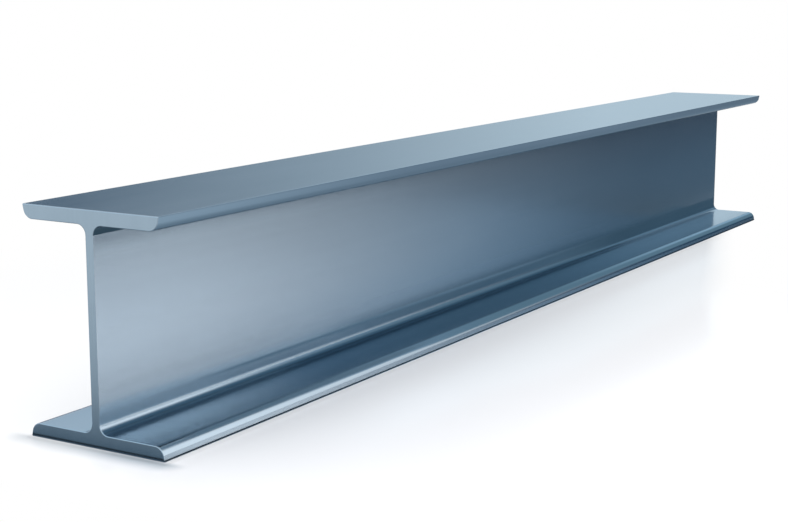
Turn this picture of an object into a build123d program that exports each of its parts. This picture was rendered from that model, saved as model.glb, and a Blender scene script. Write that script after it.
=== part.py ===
from build123d import *
from math import radians, tan
import os

# Hot-rolled steel H-beam with parallel flanges, cut square at both ends. It lies along X on its
# lower flange, with its web upright. The origin is at the middle of the lower flange's underside,
# halfway along the beam. Sizes are in millimetres.

# Driving dimensions
BEAM_LENGTH = 3000.0  # between the two sawn ends
BEAM_DEPTH = 405.0  # over both flanges
FLANGE_WIDTH = 294.0  # between a flange's outer corners, before they are rounded
FLANGE_THICKNESS = 25.5
WEB_THICKNESS = 17.0
ROOT_RADIUS = 18.0  # hollow fillet where the web runs into a flange
TOE_LEAN = 12.0  # degrees by which a flange's edge leans in, from its outer to its inner face
TOE_RADIUS = 19.0  # round shoulder between that edge and the flange's inner face
ARRIS_RADIUS = 1.5  # rounding of the flanges' outer corners and of every edge of the cut ends

# Half sizes, measured from the middle of the section
half_web = WEB_THICKNESS / 2
half_width = FLANGE_WIDTH / 2
half_depth = BEAM_DEPTH / 2
flange_inner_face = half_depth - FLANGE_THICKNESS
toe_inner_corner = half_width - FLANGE_THICKNESS * tan(radians(TOE_LEAN))

# The section is drawn on one end's plane, with X across the flanges and Y up the web.
section_plane = Plane(
    origin=(-BEAM_LENGTH / 2, 0, half_depth),
    x_dir=(0, 1, 0),
    z_dir=(1, 0, 0),
)

with BuildPart() as beam:
    # One quarter of the rolled outline is mirrored both ways, and the section is drawn out to length.
    with BuildSketch(section_plane):
        with BuildLine():
            rolled_side = FilletPolyline(
                (half_web, 0),
                (half_web, flange_inner_face),
                (toe_inner_corner, flange_inner_face),
                (half_width, half_depth),
                radius=[ROOT_RADIUS, TOE_RADIUS],
            )
            Line(rolled_side @ 1, (0, half_depth))
            mirror(about=Plane.YZ)
            mirror(about=Plane.XZ)
        make_face()
    extrude(amount=BEAM_LENGTH)

    # The outer corners of the flanges and the edges of both cut ends are taken off in one round.
    cut_edges = beam.faces().filter_by(Axis.X).edges()
    corners_by_side = beam.edges().filter_by(Axis.X).group_by(Axis.Y)
    fillet(cut_edges + corners_by_side[0] + corners_by_side[-1], radius=ARRIS_RADIUS)

beam.part.label = "beam"

os.makedirs("parts", exist_ok=True)
export_step(beam.part, "parts/beam.step")
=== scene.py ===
import math

import bpy
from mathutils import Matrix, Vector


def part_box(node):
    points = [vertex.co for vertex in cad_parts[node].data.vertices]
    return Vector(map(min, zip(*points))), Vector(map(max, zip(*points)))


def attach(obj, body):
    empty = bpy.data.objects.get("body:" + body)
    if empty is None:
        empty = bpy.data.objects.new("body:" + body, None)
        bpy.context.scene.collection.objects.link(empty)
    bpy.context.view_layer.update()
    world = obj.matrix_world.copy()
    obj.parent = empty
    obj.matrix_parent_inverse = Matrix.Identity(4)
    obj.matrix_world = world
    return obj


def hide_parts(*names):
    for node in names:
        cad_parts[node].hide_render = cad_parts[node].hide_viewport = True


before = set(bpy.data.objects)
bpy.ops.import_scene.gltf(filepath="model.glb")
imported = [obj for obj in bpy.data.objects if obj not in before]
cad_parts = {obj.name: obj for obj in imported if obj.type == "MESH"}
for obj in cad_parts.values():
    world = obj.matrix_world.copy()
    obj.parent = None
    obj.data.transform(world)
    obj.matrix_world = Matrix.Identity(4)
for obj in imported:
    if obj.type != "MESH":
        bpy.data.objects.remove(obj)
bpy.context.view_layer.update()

# Rolled beam
# One length of H-section, rolled hot from a single steel bloom, so web and flanges are one piece.
# The rolls leave hollow fillets at the roots, and flange edges that lean in to a round shoulder.
# A cold saw cuts both ends square, and the edges of the cuts and the outer arrises are dressed round.


class Wire:
    """One output of a node. Arithmetic on it adds Math nodes to its tree."""

    def __init__(self, tree, socket):
        self.tree = tree
        self.socket = socket

    def math(self, operation, *others):
        return self.tree.math(operation, self, *others)

    def __add__(self, other):
        return self.tree.math("ADD", self, other)

    def __radd__(self, other):
        return self.tree.math("ADD", other, self)

    def __sub__(self, other):
        return self.tree.math("SUBTRACT", self, other)

    def __rsub__(self, other):
        return self.tree.math("SUBTRACT", other, self)

    def __mul__(self, other):
        return self.tree.math("MULTIPLY", self, other)

    def __rmul__(self, other):
        return self.tree.math("MULTIPLY", other, self)

    def __truediv__(self, other):
        return self.tree.math("DIVIDE", self, other)

    def __rtruediv__(self, other):
        return self.tree.math("DIVIDE", other, self)


class NodeTree:
    """A node tree that is filled by one call for each node."""

    def __init__(self, tree):
        self.tree = tree

    def node(self, kind, settings, inputs, output=None):
        """Adds a node, sets its settings and then its sockets, and hands back one of its outputs."""
        made = self.tree.nodes.new(kind)
        for name, value in settings.items():
            setattr(made, name, value)
        sockets = {socket.identifier: socket for socket in made.inputs}
        for name, value in inputs.items():
            if isinstance(value, Wire):
                self.tree.links.new(value.socket, sockets[name])
            else:
                sockets[name].default_value = value
        if not made.outputs:
            return None
        results = {socket.identifier: socket for socket in made.outputs}
        return Wire(self, results[output] if output else made.outputs[0])

    def math(self, operation, *values):
        names = ("Value", "Value_001")
        return self.node("ShaderNodeMath", {"operation": operation}, dict(zip(names, values)))

    def vector(self, x, y, z):
        return self.node("ShaderNodeCombineXYZ", {}, {"X": x, "Y": y, "Z": z})

    def split(self, vector):
        parts = self.node("ShaderNodeSeparateXYZ", {}, {"Vector": vector})
        return [Wire(self, part) for part in parts.socket.node.outputs]

    def object_place(self):
        return self.node("ShaderNodeTexCoord", {}, {}, "Object")

    def ease(self, value, start, end):
        """0 before start and 1 after end, with a soft step between them."""
        inputs = {"Value": value, "From Min": start, "From Max": end}
        return self.node("ShaderNodeMapRange", {"interpolation_type": "SMOOTHSTEP"}, inputs)

    def mix_colour(self, factor, first, second):
        inputs = {"Factor_Float": factor, "A_Color": first, "B_Color": second}
        return self.node("ShaderNodeMix", {"data_type": "RGBA"}, inputs, "Result_Color")

    def noise(self, place, stretch, detail):
        """Cloudy noise about 0, with so many cycles to the metre along each axis."""
        scaled = self.node("ShaderNodeMapping", {}, {"Vector": place, "Scale": stretch})
        inputs = {"Vector": scaled, "Scale": 1.0, "Detail": detail}
        return self.node("ShaderNodeTexNoise", {}, inputs, "Fac") - 0.5

    def show(self, shader):
        self.node("ShaderNodeOutputMaterial", {}, {"Surface": shader})


def empty_material(name):
    material = bpy.data.materials.new(name)
    material.use_nodes = True
    material.node_tree.nodes.clear()
    return material, NodeTree(material.node_tree)


lowest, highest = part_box("beam")
beam_length, flange_width, beam_depth = highest - lowest
end_x = 0.5 * beam_length
toe_y = 0.5 * flange_width
TOE_LEAN = math.radians(12.0)
DRESSED_EDGE = 0.0018
DRESSING_STEPS = 4
DRESSED_ANGLE = math.radians(60.0)
ARC_STEPS = 20
arris_radius = DRESSED_EDGE * math.tan(0.5 * (0.5 * math.pi - TOE_LEAN))
arris_loss = arris_radius * (math.tan(TOE_LEAN) + 1.0 / math.cos(TOE_LEAN) - 1.0)
section_sizes = {
    "Length": beam_length,
    "Depth": beam_depth,
    "Sharp flange width": flange_width + 2.0 * arris_loss,
    "Flange thickness": 0.0255,
    "Web thickness": 0.017,
    "Root radius": 0.018,
    "Toe lean": TOE_LEAN,
    "Toe radius": 0.019,
}

BUMP_STRENGTH = 0.05
BUMP_DEPTH = 0.0002


def bare_steel(nodes, colour, roughness, relief):
    """Finishes a bare steel surface, whose relief is too shallow to be modelled."""
    bump_inputs = {"Strength": BUMP_STRENGTH, "Distance": BUMP_DEPTH, "Height": relief}
    bump = nodes.node("ShaderNodeBump", {}, bump_inputs)
    steel_inputs = {"Base Color": colour, "Metallic": 1.0, "Roughness": roughness, "Normal": bump}
    nodes.show(nodes.node("ShaderNodeBsdfPrincipled", {}, steel_inputs))


# Skin left by the rolls: blue-grey satin with faint drawn-out streaks, slightly brighter along the
# toes. On the lower flange's upper face by the web the colour is a painted shade, bluer and a little
# darker, strongest over the near half and fading towards the far end.
STEEL_DARK = (0.322, 0.396, 0.465, 1.0)
STEEL_LIGHT = (0.359, 0.442, 0.516, 1.0)
STEEL_RUBBED = (0.42, 0.50, 0.565, 1.0)
STEEL_PAINTED_SHADE = (0.27, 0.402, 0.512, 1.0)
STREAK_CYCLES = (0.8, 70.0, 70.0)
CLOUD_CYCLES = (3.0, 9.0, 9.0)
GRAIN_CYCLES = (500.0, 1500.0, 1500.0)
RUBBED_WIDTH = 0.012
PAINTED_SHADE_BOTTOM = (0.0225, 0.0245)
PAINTED_SHADE_TOP = (0.033, 0.028)
PAINTED_SHADE_ASIDE = (0.130, 0.118)
PAINTED_SHADE_ALONG = (1.4, 0.0)
ROLLED_ROUGHNESS = 0.18
rolled_steel, skin = empty_material("rolled_steel")
place = skin.object_place()
along, across, height = skin.split(place)
aside = across.math("ABSOLUTE")
streaks = skin.noise(place, STREAK_CYCLES, 3.0)
clouds = skin.noise(place, CLOUD_CYCLES, 3.0)
grain = skin.noise(place, GRAIN_CYCLES, 1.0)
tone = 0.5 + 0.5 * streaks + 0.8 * clouds + 0.3 * grain
rubbed = skin.ease(aside, toe_y - RUBBED_WIDTH, toe_y) * (0.35 + 0.6 * streaks)
# Painted shade: the lower flange's upper face by the web, towards the near end, is coloured bluer and
# darker.
painted_shade = skin.ease(height, *PAINTED_SHADE_BOTTOM) * skin.ease(height, *PAINTED_SHADE_TOP)
painted_shade = painted_shade * skin.ease(aside, *PAINTED_SHADE_ASIDE) * skin.ease(along, *PAINTED_SHADE_ALONG)
scaled = painted_shade * (0.9 + 0.5 * clouds)
steel_colour = skin.mix_colour(tone, STEEL_DARK, STEEL_LIGHT)
steel_colour = skin.mix_colour(rubbed, steel_colour, STEEL_RUBBED)
steel_colour = skin.mix_colour(scaled, steel_colour, STEEL_PAINTED_SHADE)
steel_roughness = ROLLED_ROUGHNESS + 0.03 * streaks + 0.04 * clouds + 0.03 * grain + 0.03 * scaled
bare_steel(skin, steel_colour, steel_roughness, grain + 0.4 * streaks)

# Sawn ends: the same steel with the blade's fine upright marks across them
SAWN_DARK = (0.315, 0.413, 0.498, 1.0)
SAWN_LIGHT = (0.372, 0.482, 0.572, 1.0)
BLADE_CYCLES = (1.0, 550.0, 4.0)
SAWN_CLOUD_CYCLES = (1.0, 14.0, 14.0)
SAWN_ROUGHNESS = 0.24
sawn_steel, cut = empty_material("sawn_steel")
place = cut.object_place()
blade_marks = cut.noise(place, BLADE_CYCLES, 2.0)
clouds = cut.noise(place, SAWN_CLOUD_CYCLES, 2.0)
sawn_colour = cut.mix_colour(0.5 + 0.7 * blade_marks + 0.8 * clouds, SAWN_DARK, SAWN_LIGHT)
bare_steel(cut, sawn_colour, SAWN_ROUGHNESS + 0.08 * blade_marks, blade_marks)

# The section's outline: root, toe and arris of a quarter, mirrored round all four, then rounded
QUARTER_CORNERS = 3
MERGE_DISTANCE = 0.00001
section_group = bpy.data.node_groups.new("rolled_h_section", "GeometryNodeTree")
sockets = section_group.interface
size_sockets = {}
for label in section_sizes:
    made_socket = sockets.new_socket(label, in_out="INPUT", socket_type="NodeSocketFloat")
    size_sockets[label] = made_socket.identifier
sockets.new_socket("Beam", in_out="OUTPUT", socket_type="NodeSocketGeometry")
section = NodeTree(section_group)
size_entry = section_group.nodes.new("NodeGroupInput")
size = {socket.name: Wire(section, socket) for socket in size_entry.outputs}

index = section.node("GeometryNodeInputIndex", {}, {})
quarter = (index / QUARTER_CORNERS).math("FLOOR")
step = index - QUARTER_CORNERS * quarter
walked_back = quarter.math("MODULO", 2.0)
corner = step + walked_back * (2.0 - 2.0 * step)
at_root = 1.0 - corner.math("MINIMUM", 1.0)
at_arris = (corner - 1.0).math("MAXIMUM", 0.0)
at_toe = 1.0 - at_root - at_arris
half_flange = 0.5 * size["Sharp flange width"]
lean_in = size["Flange thickness"] * size["Toe lean"].math("TANGENT")
half_across = half_flange - at_toe * lean_in - at_root * (half_flange - 0.5 * size["Web thickness"])
half_up = 0.5 * size["Depth"] - (1.0 - at_arris) * size["Flange thickness"]
side = 2.0 * (quarter - 1.5).math("ABSOLUTE") - 2.0
top = 1.0 - 2.0 * quarter.math("GREATER_THAN", 1.5)
corner_radius = at_root * size["Root radius"] + at_toe * size["Toe radius"]
corner_steps = 1.0 + (1.0 - at_arris) * (ARC_STEPS - 1.0)

outline = section.node(
    "GeometryNodeCurvePrimitiveCircle",
    {"mode": "RADIUS"},
    {"Resolution": 4 * QUARTER_CORNERS},
    "Curve",
)
outline = section.node(
    "GeometryNodeSetPosition",
    {},
    {"Geometry": outline, "Position": section.vector(half_across * side, half_up * top, 0.0)},
)
outline = section.node(
    "GeometryNodeFilletCurve",
    {"mode": "POLY"},
    {"Curve": outline, "Count": corner_steps, "Radius": corner_radius, "Limit Radius": True},
)
pass_line = section.node(
    "GeometryNodeCurvePrimitiveLine",
    {"mode": "POINTS"},
    {
        "Start": section.vector(-0.5 * size["Length"], 0.0, 0.5 * size["Depth"]),
        "End": section.vector(0.5 * size["Length"], 0.0, 0.5 * size["Depth"]),
    },
)
bar = section.node(
    "GeometryNodeCurveToMesh",
    {},
    {"Curve": pass_line, "Profile Curve": outline, "Fill Caps": True},
)
bar = section.node("GeometryNodeMergeByDistance", {}, {"Geometry": bar, "Distance": MERGE_DISTANCE})
bar = section.node("GeometryNodeSetShadeSmooth", {}, {"Geometry": bar, "Shade Smooth": True})
bar = section.node("GeometryNodeRealizeInstances", {}, {"Geometry": bar})
bar = section.node("GeometryNodeSetMaterial", {}, {"Geometry": bar, "Material": rolled_steel})
facing = section.split(section.node("GeometryNodeInputNormal", {}, {}, "Normal"))[0]
is_end = facing.math("ABSOLUTE").math("GREATER_THAN", 0.5)
bar = section.node(
    "GeometryNodeSetMaterial",
    {},
    {"Geometry": bar, "Selection": is_end, "Material": sawn_steel},
)
section_exit = section_group.nodes.new("NodeGroupOutput")
section_group.links.new(bar.socket, section_exit.inputs[0])

beam = bpy.data.objects.new("rolled_beam", bpy.data.meshes.new("rolled_beam_blank"))
bpy.context.collection.objects.link(beam)
rolling = beam.modifiers.new("Rolling", "NODES")
rolling.node_group = section_group
for label, value in section_sizes.items():
    rolling[size_sockets[label]] = value
dressing = beam.modifiers.new("Dressing", "BEVEL")
dressing.width = DRESSED_EDGE
dressing.segments = DRESSING_STEPS
dressing.limit_method = "ANGLE"
dressing.angle_limit = DRESSED_ANGLE
dressing.use_clamp_overlap = False
flatness = beam.modifiers.new("Flatness", "WEIGHTED_NORMAL")
flatness.weight = 100
flatness.keep_sharp = False
graph = bpy.context.evaluated_depsgraph_get()
finished_mesh = bpy.data.meshes.new_from_object(beam.evaluated_get(graph))
beam.modifiers.clear()
beam.data = finished_mesh
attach(beam, "root")
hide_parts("beam")

# Studio floor
# A plain white floor that runs past the horizon of the photograph's view. It is matt with a weak
# polish, so it keeps the beam's shadow and a faint image of its lower edge. On the beam's right side
# it is clear white beyond a soft straight line that starts at the far end's foot, a painted edge of
# light from its white glow. Just past the near end its colour darkens by the foot, a painted contact
# shadow.
FLOOR_HALF = 300.0
FLOOR_WHITE = (0.945, 0.90, 0.885, 1.0)
FLOOR_PAINTED_SHADOW = (0.42, 0.45, 0.48, 1.0)
FLOOR_ROUGHNESS = 0.16
FLOOR_SPECULAR = 0.35
CONTACT_WIDTH = 0.055
CONTACT_FADE = 0.01
CLEAR_WHITE = (1.0, 1.0, 1.0, 1.0)
BEHIND_FADE = 0.1
LIFT_NEAR = 0.38
LIFT_ALONG = (-1.2, 0.9)
LIFT_OUTWARD = (0.4, 3.0)
END_RATE = 14.0
BACK_RATE = 2.2
EDGE_TURN = math.radians(19.3)
EDGE_FADE = 0.08
EDGE_ALONG = (-0.5, 0.4)


def stage_material(name):
    """An empty material for the studio, whose own glow isn't sampled as a lamp."""
    material, nodes = empty_material(name)
    material.cycles.emission_sampling = "NONE"
    return material, nodes


def stage_card(name, corners, material):
    """A flat card for the studio, which is no part of the beam."""
    mesh = bpy.data.meshes.new(name)
    mesh.from_pydata(corners, [], [(0, 1, 2, 3)])
    mesh.materials.append(material)
    card = bpy.data.objects.new(name, mesh)
    bpy.context.collection.objects.link(card)
    return card


def flat_card(x_low, x_high, y_low, y_high, z):
    return [(x_low, y_low, z), (x_high, y_low, z), (x_high, y_high, z), (x_low, y_high, z)]


def distance_from_beam(along, across, end_rate=1.0, side_rate=1.0):
    """How far a point on the floor lies outside the beam's outline, with each way at its own rate."""
    past_end = (along.math("ABSOLUTE") - end_x).math("MAXIMUM", 0.0) * end_rate
    past_toe = (across.math("ABSOLUTE") - toe_y).math("MAXIMUM", 0.0) * side_rate
    return (past_end * past_end + past_toe * past_toe).math("SQRT")


floor_material, floor = stage_material("studio_floor")
along, across = floor.split(floor.object_place())[:2]
# A painted contact shadow: just past the near end, the floor's colour darkens close to the foot.
before_end = floor.ease(along, CONTACT_FADE - end_x, -CONTACT_FADE - end_x)
painted_contact_shadow = before_end * floor.ease(distance_from_beam(along, across), CONTACT_WIDTH, 0.0)
floor_colour = floor.mix_colour(painted_contact_shadow, FLOOR_WHITE, FLOOR_PAINTED_SHADOW)
floor_shader = floor.node(
    "ShaderNodeBsdfPrincipled",
    {},
    {"Base Color": floor_colour, "Roughness": FLOOR_ROUGHNESS, "Specular IOR Level": FLOOR_SPECULAR},
)
white_shader = floor.node("ShaderNodeEmission", {}, {"Color": CLEAR_WHITE, "Strength": 1.0})
seen_by_camera = floor.node("ShaderNodeLightPath", {}, {}, "Is Camera Ray")
seen_in_gloss = floor.node("ShaderNodeLightPath", {}, {}, "Is Glossy Ray")
seen_through = floor.node("ShaderNodeLightPath", {}, {}, "Is Transmission Ray")
behind = floor.ease(across, -BEHIND_FADE, BEHIND_FADE)
side_rate = 1.0 + (BACK_RATE - 1.0) * behind
open_floor = distance_from_beam(along, across, END_RATE, side_rate)
lift_near = LIFT_NEAR * floor.ease(along, *LIFT_ALONG).math("MAXIMUM", behind)
lift_near = lift_near + (1.0 - lift_near) * floor.ease(open_floor, *LIFT_OUTWARD)
# Beyond this line the glow paints the floor clear white, a painted edge of light that wipes out the beam's
# shadow there.
beyond_edge = (along - end_x) * math.sin(EDGE_TURN) - across * math.cos(EDGE_TURN)
clear_floor = floor.ease(beyond_edge, -EDGE_FADE, EDGE_FADE) * floor.ease(along, *EDGE_ALONG)
lift_seen = lift_near.math("MAXIMUM", clear_floor)
lift_mirrored = (seen_in_gloss + seen_through).math("MINIMUM", 1.0) * lift_near
lifted_floor = floor.node(
    "ShaderNodeMixShader",
    {},
    {
        "Fac": seen_by_camera * lift_seen + lift_mirrored,
        "Shader": floor_shader,
        "Shader_001": white_shader,
    },
)
floor.show(lifted_floor)
floor_corners = flat_card(-FLOOR_HALF, FLOOR_HALF, -FLOOR_HALF, FLOOR_HALF, 0.0)
stage_card("studio_floor", floor_corners, floor_material)

# Reflection cards
# Steel shows what stands round it, so plain cards shape its reflections: a dark one on the floor, small
# ones beside the web and the flanges, one pale one on the right and a low black strip round the foot.
# Only gloss sees them, so they are painted reflections: they light nothing matt, cast no shadow and stay
# out of the picture.


def gloss_card(name, corners, material):
    card = stage_card(name, corners, material)
    card.visible_camera = False
    card.visible_diffuse = False
    card.visible_transmission = False
    card.visible_volume_scatter = False
    card.visible_shadow = False


def one_sided_card(nodes, colour, cover, from_above=True):
    """Finishes a card that shows a colour from one side and is clear from the other."""
    back = nodes.node("ShaderNodeNewGeometry", {}, {}, "Backfacing")
    front = 1.0 - back if from_above else back
    clear_shader = nodes.node("ShaderNodeBsdfTransparent", {}, {})
    colour_shader = nodes.node("ShaderNodeEmission", {}, {"Color": colour, "Strength": 1.0})
    card_mix = nodes.node(
        "ShaderNodeMixShader",
        {},
        {"Fac": cover * front, "Shader": clear_shader, "Shader_001": colour_shader},
    )
    nodes.show(card_mix)


def along_and_aside(nodes):
    """How far along the beam a point is, and how far out from the web on either side."""
    along, across = nodes.split(nodes.object_place())[:2]
    return along, across.math("ABSOLUTE")


# The dark card fans out from the mirror image, behind the web, of the place the camera stands at.
SHADE_COLOUR = (0.115, 0.193, 0.270, 1.0)
SHADE_EDGE = (0.30, 0.55, 0.78, 1.0)
DEEP_SHADE = (0.06, 0.09, 0.13, 1.0)
END_SHADE = (0.135, 0.185, 0.228, 1.0)
SHADE_HALF = 12.0
SHADE_HEIGHT = 0.0002
FAN_CENTRE_X = -3.382
FAN_CENTRE_Y = 1.70
FAN_SWEEP = (math.radians(41.0), math.radians(21.5))
FAR_END_FADE = 0.1
FAR_END_ASIDE = (0.16, 0.10)
END_SHADE_REACH = 0.38
END_SHADE_FADE = 0.2
OUTSKIRTS_DEPTH = 0.28
OUTSKIRTS_ASIDE = (0.1, 1.3)
OUTSKIRTS_ALONG = (-1.6, -0.6)
OUTSKIRTS_SHIFT = 0.3
OUTSKIRTS_SHIFT_ALONG = (0.2, 1.2)
CONTACT_REACH = 0.03
FRINGE_REACH = 0.40
FRINGE_DEPTH = 0.22
shade_material, shade = stage_material("dark_card")
along, aside = along_and_aside(shade)
distance = distance_from_beam(along, aside)
sweep = (FAN_CENTRE_Y + aside).math("ARCTAN2", along - FAN_CENTRE_X)
before_far_end = shade.ease(along, end_x, end_x + FAR_END_FADE) * shade.ease(aside, *FAR_END_ASIDE)
fan = shade.ease(sweep, *FAN_SWEEP) * (1.0 - before_far_end)
# Round the beam's ends, and close round its foot, the card darkens further: a painted contact shade in the
# steel's reflections.
end_zone = 1.0 / (1.0 + distance / END_SHADE_REACH)
end_zone = end_zone * shade.ease(along.math("ABSOLUTE"), end_x - END_SHADE_FADE, end_x)
outward = aside - OUTSKIRTS_SHIFT * shade.ease(along, *OUTSKIRTS_SHIFT_ALONG)
outskirts = shade.ease(outward, *OUTSKIRTS_ASIDE) * shade.ease(along, *OUTSKIRTS_ALONG)
fringe = FRINGE_DEPTH * shade.ease(distance, FRINGE_REACH, 0.0)
contact = shade.ease(distance, CONTACT_REACH, 0.0).math("MAXIMUM", fringe)
open_part = (1.0 - fan) * (1.0 - end_zone) * (1.0 - OUTSKIRTS_DEPTH * outskirts) * (1.0 - contact)
shade_colour = shade.mix_colour(2.0 * fan * (1.0 - fan), SHADE_COLOUR, SHADE_EDGE)
shade_colour = shade.mix_colour(outskirts, shade_colour, DEEP_SHADE)
shade_colour = shade.mix_colour(end_zone, shade_colour, END_SHADE)
one_sided_card(shade, shade_colour, 1.0 - open_part)
shade_corners = flat_card(-SHADE_HALF, SHADE_HALF, -SHADE_HALF, SHADE_HALF, SHADE_HEIGHT)
gloss_card("dark_card", shade_corners, shade_material)


def side_cards(name, material, right_x, left_x, near, far, z):
    """A flat card on each side of the web, from near to far out from it."""
    gloss_card(name + "_right", flat_card(*right_x, -far, -near, z), material)
    gloss_card(name + "_left", flat_card(*left_x, near, far, z), material)


# Toe cards show in the undersides of the upper toes.
TOE_SHADE_NEAR = (0.57, 0.70, 0.80, 1.0)
TOE_SHADE_FAR = (0.29, 0.375, 0.46, 1.0)
TOE_SHADE_END = (0.21, 0.28, 0.35, 1.0)
TOE_SHADE_DEEP = (0.22, 0.305, 0.38, 1.0)
TOE_FAR_ALONG = (-1.6, -0.4)
TOE_END_ALONG = (0.2, 1.5)
TOE_DEEP_ASIDE = (0.23, 0.12)
TOE_CARD_X = (-end_x, 1.8)
TOE_CARD_ASIDE = (0.12, 1.2)
TOE_CARD_HEIGHT = 0.345
toe_material, toe_shade = stage_material("toe_card")
along, aside = along_and_aside(toe_shade)
toe_colour = toe_shade.mix_colour(toe_shade.ease(along, *TOE_FAR_ALONG), TOE_SHADE_NEAR, TOE_SHADE_FAR)
toe_colour = toe_shade.mix_colour(toe_shade.ease(along, *TOE_END_ALONG), toe_colour, TOE_SHADE_END)
toe_colour = toe_shade.mix_colour(toe_shade.ease(aside, *TOE_DEEP_ASIDE), toe_colour, TOE_SHADE_DEEP)
one_sided_card(toe_shade, toe_colour, 1.0)
side_cards("toe_card", toe_material, TOE_CARD_X, TOE_CARD_X, *TOE_CARD_ASIDE, TOE_CARD_HEIGHT)

# Root cards show in the upper roots, and band cards in the web just below them.
ROOT_SHADE = (0.085, 0.135, 0.17, 1.0)
BAND_SHADE = (0.05, 0.085, 0.12, 1.0)
BAND_DEPTH = 0.42
BAND_FADE_ASIDE = (0.02, 0.17)
WEB_CLEARANCE = 0.0095
ROOT_CARD_FAR = 0.11
ROOT_CARD_HEIGHT = 0.3625
BAND_CARD_FAR = 0.2
BAND_CARD_HEIGHT = 0.325
WHOLE_LENGTH = (-end_x, end_x)
root_material, root_shade = stage_material("root_card")
one_sided_card(root_shade, ROOT_SHADE, 1.0)
root_aside = (WEB_CLEARANCE, ROOT_CARD_FAR)
side_cards("root_card", root_material, WHOLE_LENGTH, WHOLE_LENGTH, *root_aside, ROOT_CARD_HEIGHT)
band_material, band = stage_material("band_card")
aside = along_and_aside(band)[1]
one_sided_card(band, BAND_SHADE, BAND_DEPTH * band.ease(aside, *BAND_FADE_ASIDE))
band_aside = (WEB_CLEARANCE, BAND_CARD_FAR)
side_cards("band_card", band_material, WHOLE_LENGTH, WHOLE_LENGTH, *band_aside, BAND_CARD_HEIGHT)

# Ceiling cards stand in for the upper flange's underside, towards the near end.
CEILING_COLOUR = (0.40, 0.49, 0.56, 1.0)
CEILING_X = (-end_x, -0.5)
CEILING_ASIDE = (0.06, 0.146)
CEILING_HEIGHT = 0.377
ceiling_material, ceiling = stage_material("ceiling_card")
one_sided_card(ceiling, CEILING_COLOUR, 1.0, from_above=False)
side_cards("ceiling_card", ceiling_material, CEILING_X, CEILING_X, *CEILING_ASIDE, CEILING_HEIGHT)

# Channel cards show in the lower roots and in the lower flange's upper face.
CHANNEL_NEAR = (0.34, 0.49, 0.62, 1.0)
CHANNEL_FAR = (0.21, 0.345, 0.43, 1.0)
CHANNEL_END = (0.43, 0.65, 0.81, 1.0)
CHANNEL_DEEP = (0.09, 0.175, 0.25, 1.0)
CHANNEL_FAR_ALONG = (-0.9, 0.0)
CHANNEL_END_ALONG = (0.0, 1.4)
CHANNEL_END_ASIDE = (0.145, 0.12)
CHANNEL_DEEP_ASIDE = (0.10, 0.055)
CHANNEL_DEEP_SHIFT = 0.030
CHANNEL_DEEP_SHIFT_ALONG = (0.0, 0.9)
CHANNEL_STARTS_ALONG = (-1.15, -0.65)
CHANNEL_EDGE = 0.22
CHANNEL_EDGE_SHIFT = 0.07
CHANNEL_EDGE_ALONG = (-0.6, -0.2)
CHANNEL_EDGE_FADE = 0.02
NEAR_ROOT_ALONG = (-1.48, -1.40)
NEAR_ROOT_ASIDE = (0.072, 0.056)
CHANNEL_WEB_ASIDE = (0.02, 0.03)
CHANNEL_RIGHT_X = (-end_x, 3.0)
CHANNEL_ASIDE = (0.018, 0.31)
CHANNEL_HEIGHT = 0.10
channel_material, channel = stage_material("channel_card")
along, aside = along_and_aside(channel)
channel_colour = channel.mix_colour(channel.ease(along, *CHANNEL_FAR_ALONG), CHANNEL_NEAR, CHANNEL_FAR)
past_middle = channel.ease(along, *CHANNEL_END_ALONG) * channel.ease(aside, *CHANNEL_END_ASIDE)
channel_colour = channel.mix_colour(past_middle, channel_colour, CHANNEL_END)
outward = aside + CHANNEL_DEEP_SHIFT * channel.ease(along, *CHANNEL_DEEP_SHIFT_ALONG)
in_root = channel.ease(outward, *CHANNEL_DEEP_ASIDE)
channel_colour = channel.mix_colour(in_root, channel_colour, CHANNEL_DEEP)
channel_edge = CHANNEL_EDGE + CHANNEL_EDGE_SHIFT * channel.ease(along, *CHANNEL_EDGE_ALONG)
inside_edge = channel.ease(aside - channel_edge, CHANNEL_EDGE_FADE, -CHANNEL_EDGE_FADE)
channel_cover = channel.ease(along, *CHANNEL_STARTS_ALONG) * inside_edge
near_root = channel.ease(along, *NEAR_ROOT_ALONG) * channel.ease(aside, *NEAR_ROOT_ASIDE)
channel_cover = channel_cover.math("MAXIMUM", near_root) * channel.ease(aside, *CHANNEL_WEB_ASIDE)
one_sided_card(channel, channel_colour, channel_cover, from_above=False)
side_cards("channel_card", channel_material, CHANNEL_RIGHT_X, WHOLE_LENGTH, *CHANNEL_ASIDE, CHANNEL_HEIGHT)

# Ledge cards show in the lower flange's upper face by its toe, towards the near end.
LEDGE_COLOUR = (0.22, 0.32, 0.40, 1.0)
LEDGE_INNER = (0.108, 0.125)
LEDGE_OUTER = (0.17, 0.155)
LEDGE_STARTS = (-1.42, -1.34)
LEDGE_ENDS = (-0.5, -0.7)
LEDGE_RIGHT_X = (-1.42, -0.5)
LEDGE_LEFT_X = (-1.2, -0.5)
LEDGE_ASIDE = (0.10, 0.17)
LEDGE_HEIGHT = 0.06
ledge_material, ledge = stage_material("ledge_card")
along, aside = along_and_aside(ledge)
ledge_cover = ledge.ease(aside, *LEDGE_INNER) * ledge.ease(aside, *LEDGE_OUTER)
ledge_cover = ledge_cover * ledge.ease(along, *LEDGE_STARTS) * ledge.ease(along, *LEDGE_ENDS)
one_sided_card(ledge, LEDGE_COLOUR, ledge_cover, from_above=False)
side_cards("ledge_card", ledge_material, LEDGE_RIGHT_X, LEDGE_LEFT_X, *LEDGE_ASIDE, LEDGE_HEIGHT)


def upright_card(start, end, z_low, z_high):
    """Corners of a card that stands on the line from start to end, facing its right side."""
    return [(*start, z_low), (*end, z_low), (*end, z_high), (*start, z_high)]


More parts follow.
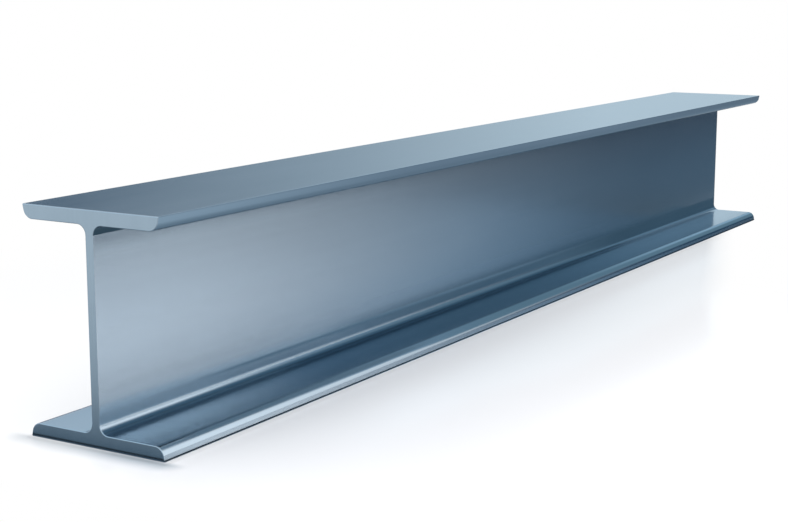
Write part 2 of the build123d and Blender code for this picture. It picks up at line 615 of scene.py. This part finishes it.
# Strip cards stand close to the web, face it and show in the lower roots.
STRIP_NEAR = (0.22, 0.33, 0.42, 1.0)
STRIP_FAR = (0.08, 0.15, 0.21, 1.0)
STRIP_STARTS_ALONG = (-1.4, -1.0)
STRIP_NEAR_HEIGHT = (0.0465, 0.0515)
STRIP_FAR_ALONG = (-0.1, 0.8)
STRIP_FAR_X = 1.6
STRIP_ASIDE = 0.03
STRIP_LOW = 0.0275
STRIP_HIGH = 0.0555
strip_material, strip = stage_material("strip_card")
along, _, height = strip.split(strip.object_place())
strip_cover = strip.ease(along, *STRIP_STARTS_ALONG) * strip.ease(height, *STRIP_NEAR_HEIGHT)
past_middle = strip.ease(along, *STRIP_FAR_ALONG)
strip_cover = strip_cover.math("MAXIMUM", past_middle)
one_sided_card(strip, strip.mix_colour(past_middle, STRIP_NEAR, STRIP_FAR), strip_cover)
strip_lines = {
    "right": ((STRIP_FAR_X, -STRIP_ASIDE), (-end_x, -STRIP_ASIDE)),
    "left": ((-end_x, STRIP_ASIDE), (STRIP_FAR_X, STRIP_ASIDE)),
}
for side_name, (start, end) in strip_lines.items():
    corners = upright_card(start, end, STRIP_LOW, STRIP_HIGH)
    gloss_card("strip_card_" + side_name, corners, strip_material)

# The bounce card is brighter than white and seen from below, so it shows as the light lines along
# the lower toe and root on the right.
BOUNCE_FOOT = (0.90, 0.93, 0.95, 1.0)
BOUNCE_WHITE = (1.64, 1.64, 1.64, 1.0)
BOUNCE_WHITE_ASIDE = (9.0, 1.6)
BOUNCE_LEAN = 1.3
BOUNCE_ALONG = (1.2, -2.0)
BOUNCE_STARTS_ASIDE = (0.2, 0.38)
BOUNCE_X = (-1.6, 14.0)
BOUNCE_Y = (-12.0, -0.17)
BOUNCE_HEIGHT = 0.25
bounce_material, bounce = stage_material("bounce_card")
along, aside = along_and_aside(bounce)
bounce_colour = bounce.mix_colour(bounce.ease(aside, *BOUNCE_WHITE_ASIDE), BOUNCE_FOOT, BOUNCE_WHITE)
bounce_cover = bounce.ease(along - BOUNCE_LEAN * aside, *BOUNCE_ALONG)
bounce_cover = bounce_cover * bounce.ease(aside, *BOUNCE_STARTS_ASIDE)
one_sided_card(bounce, bounce_colour, bounce_cover, from_above=False)
gloss_card("bounce_card", flat_card(*BOUNCE_X, *BOUNCE_Y, BOUNCE_HEIGHT), bounce_material)

# The foot cards are a black strip that stands round the foot of the beam, a painted contact shadow that
# the floor's gloss and the toes' lower edges show as a dark line.
FOOT_BLACK = (0.008, 0.012, 0.018, 1.0)
FOOT_HEIGHT = 0.0035
FOOT_GAP = 0.006
foot_material, foot = stage_material("foot_card")
foot.show(foot.node("ShaderNodeEmission", {}, {"Color": FOOT_BLACK, "Strength": 1.0}))
foot_x = end_x + FOOT_GAP
foot_y = toe_y + FOOT_GAP
foot_corners = [(-foot_x, -foot_y), (foot_x, -foot_y), (foot_x, foot_y), (-foot_x, foot_y)]
for number, start in enumerate(foot_corners):
    end = foot_corners[(number + 1) % len(foot_corners)]
    gloss_card("foot_card_%d" % number, upright_card(start, end, 0.0, FOOT_HEIGHT), foot_material)

# Studio light
# One wide white softbox hangs over the beam and lights the floor evenly. The steel shows the studio
# round it: a dim blue corner past the far end, with a pale glow on its left part, and white elsewhere.
SOFTBOX_SIDE = 12.0
SOFTBOX_HEIGHT = 4.5
SOFTBOX_RADIANCE = 0.78
softbox = bpy.data.lights.new("softbox", "AREA")
softbox.shape = "SQUARE"
softbox.size = SOFTBOX_SIDE
softbox.energy = SOFTBOX_RADIANCE * math.pi * SOFTBOX_SIDE**2
softbox_lamp = bpy.data.objects.new("softbox", softbox)
softbox_lamp.location = (0.0, 0.0, SOFTBOX_HEIGHT)
softbox_lamp.visible_camera = False
softbox_lamp.visible_glossy = False
bpy.context.collection.objects.link(softbox_lamp)

# Directions in degrees: turn is 0 along the beam and grows to the left, climb is 0 at the horizon
CORNER_FOOT = (0.03, 0.085, 0.15, 1.0)
CORNER_BLUE = (0.24, 0.34, 0.43, 1.0)
CORNER_GLOW = (0.59, 0.73, 0.82, 1.0)
CORNER_SHINE = (0.74, 0.91, 1.02, 1.0)
STUDIO_WHITE = (0.95, 1.02, 1.08, 1.0)
BLUE_CLIMB = (7.0, 19.0)
SHINE_CLIMB = (8.0, 13.0)
GLOW_ENDS = 43.5
GLOW_SPREAD = 20.0
GLOW_STARTS = (-5.0, 15.0)
WHITE_LEFT_TURN = (46.0, 70.0)
WHITE_RIGHT_TURN = (-25.0, -55.0)
WHITE_CLIMB = (44.0, 60.0)
WINDOW_TURN = (32.0, 40.0)
WINDOW_CLIMB = (11.5, 16.0)
studio = bpy.data.worlds.new("studio")
studio.use_nodes = True
studio.node_tree.nodes.clear()
bpy.context.scene.world = studio
air = NodeTree(studio.node_tree)


def degrees_step(value, start, end):
    return air.ease(value, math.radians(start), math.radians(end))


ahead, leftward, upward = air.split(air.node("ShaderNodeTexCoord", {}, {}, "Generated"))
turn = leftward.math("ARCTAN2", ahead)
climb = upward.math("ARCSINE")
glow = (math.radians(GLOW_ENDS) - turn) / math.radians(GLOW_SPREAD)
glow = glow.math("MAXIMUM", 0.0).math("MINIMUM", 1.0) * degrees_step(turn, *GLOW_STARTS)
window = degrees_step(turn, *WINDOW_TURN) * degrees_step(climb, *WINDOW_CLIMB)
white = degrees_step(turn, *WHITE_LEFT_TURN).math("MAXIMUM", degrees_step(turn, *WHITE_RIGHT_TURN))
white = white.math("MAXIMUM", degrees_step(climb, *WHITE_CLIMB)).math("MAXIMUM", window)
studio_colour = air.mix_colour(degrees_step(climb, *BLUE_CLIMB), CORNER_FOOT, CORNER_BLUE)
glow_colour = air.mix_colour(degrees_step(climb, *SHINE_CLIMB), CORNER_GLOW, CORNER_SHINE)
studio_colour = air.mix_colour(glow, studio_colour, glow_colour)
studio_colour = air.mix_colour(white, studio_colour, STUDIO_WHITE)
studio_light = air.node("ShaderNodeBackground", {}, {"Color": studio_colour, "Strength": 1.0})
air.node("ShaderNodeOutputWorld", {}, {"Surface": studio_light})

# Camera
# It stands where the photograph was taken from, solved from the beam's own straight edges.
# The lens is given for a frame 788 pixels wide and 522 high.
EYE = (-3.3820, -1.7165, 0.7770)
YAW = math.radians(31.072)
PITCH = math.radians(10.360)
LENS = 70.753
SENSOR_WIDTH = 36.0
CLIP_START = 0.05
CLIP_END = 1000.0
camera_data = bpy.data.cameras.new("camera")
camera_data.sensor_fit = "HORIZONTAL"
camera_data.sensor_width = SENSOR_WIDTH
camera_data.lens = LENS
camera_data.clip_start = CLIP_START
camera_data.clip_end = CLIP_END
camera = bpy.data.objects.new("camera", camera_data)
camera.location = EYE
camera.rotation_euler = (0.5 * math.pi - PITCH, 0.0, YAW - 0.5 * math.pi)
bpy.context.collection.objects.link(camera)
bpy.context.scene.camera = camera
bpy.context.scene.view_settings.view_transform = "Standard"
